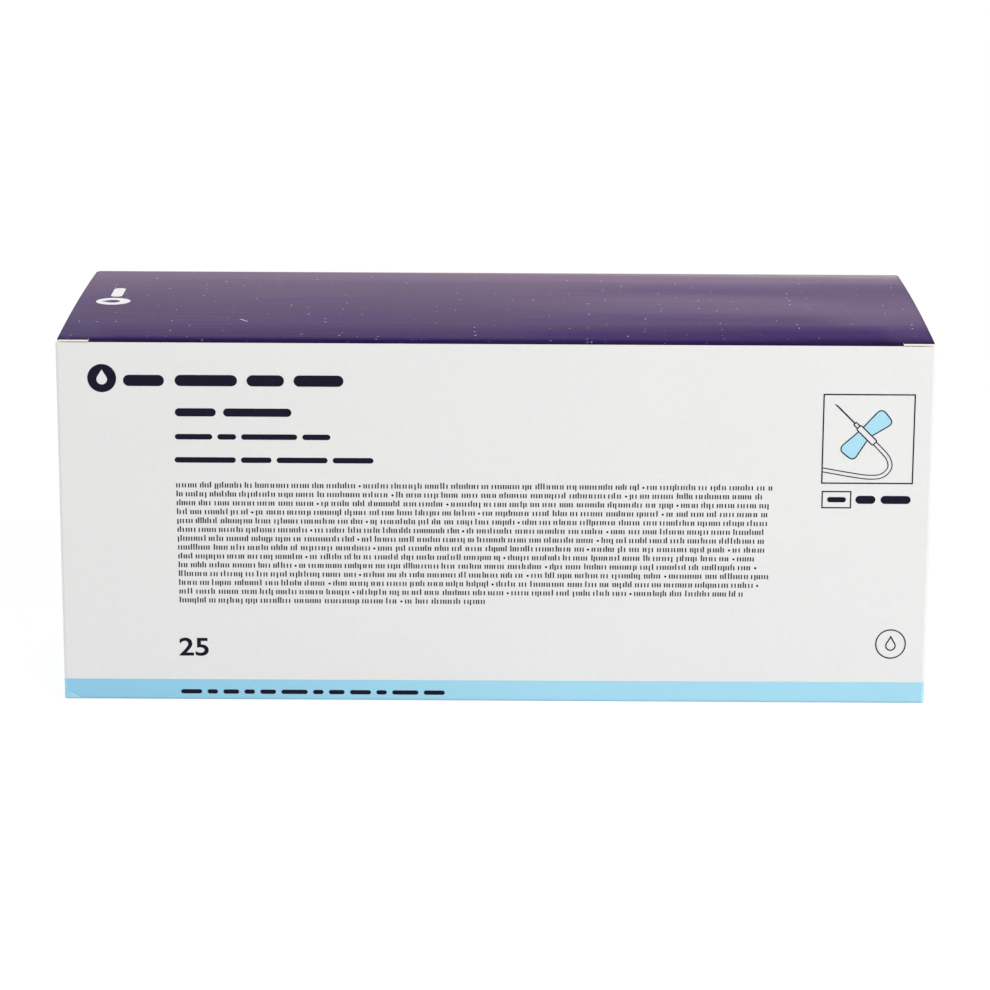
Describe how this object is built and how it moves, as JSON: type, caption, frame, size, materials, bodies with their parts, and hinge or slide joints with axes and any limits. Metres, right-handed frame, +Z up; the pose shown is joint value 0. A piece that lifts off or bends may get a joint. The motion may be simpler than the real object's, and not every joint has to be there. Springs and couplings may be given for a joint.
{
  "type": "folding carton",
  "caption": "Closed tuck-top folding carton of thin board, with a hinged lid, slit-lock ears, dust flaps and a self-locking bottom.",
  "frame": {"origin": "middle of the bottom, on the surface that the carton stands on", "axes": "+X to the right along the front panel, +Y from the front panel to the back panel, +Z up"},
  "size_m": [0.24, 0.1, 0.1033],
  "materials": {
    "printed_board": "coated satin white board with a light blue band and dark print",
    "purple_board": "coated semi-gloss board, printed dark purple outside"
  },
  "bodies": {
    "carton": {"carton_body": "printed_board"},
    "lid": {"lid": "purple_board"}
  },
  "joints": [
    {"name": "lid_hinge", "type": "hinge", "parent": "carton", "child": "lid", "pos_m": [0, 0.05, 0.1019], "axis": [-1, 0, 0], "range_deg": [0, 180]}
  ]
}
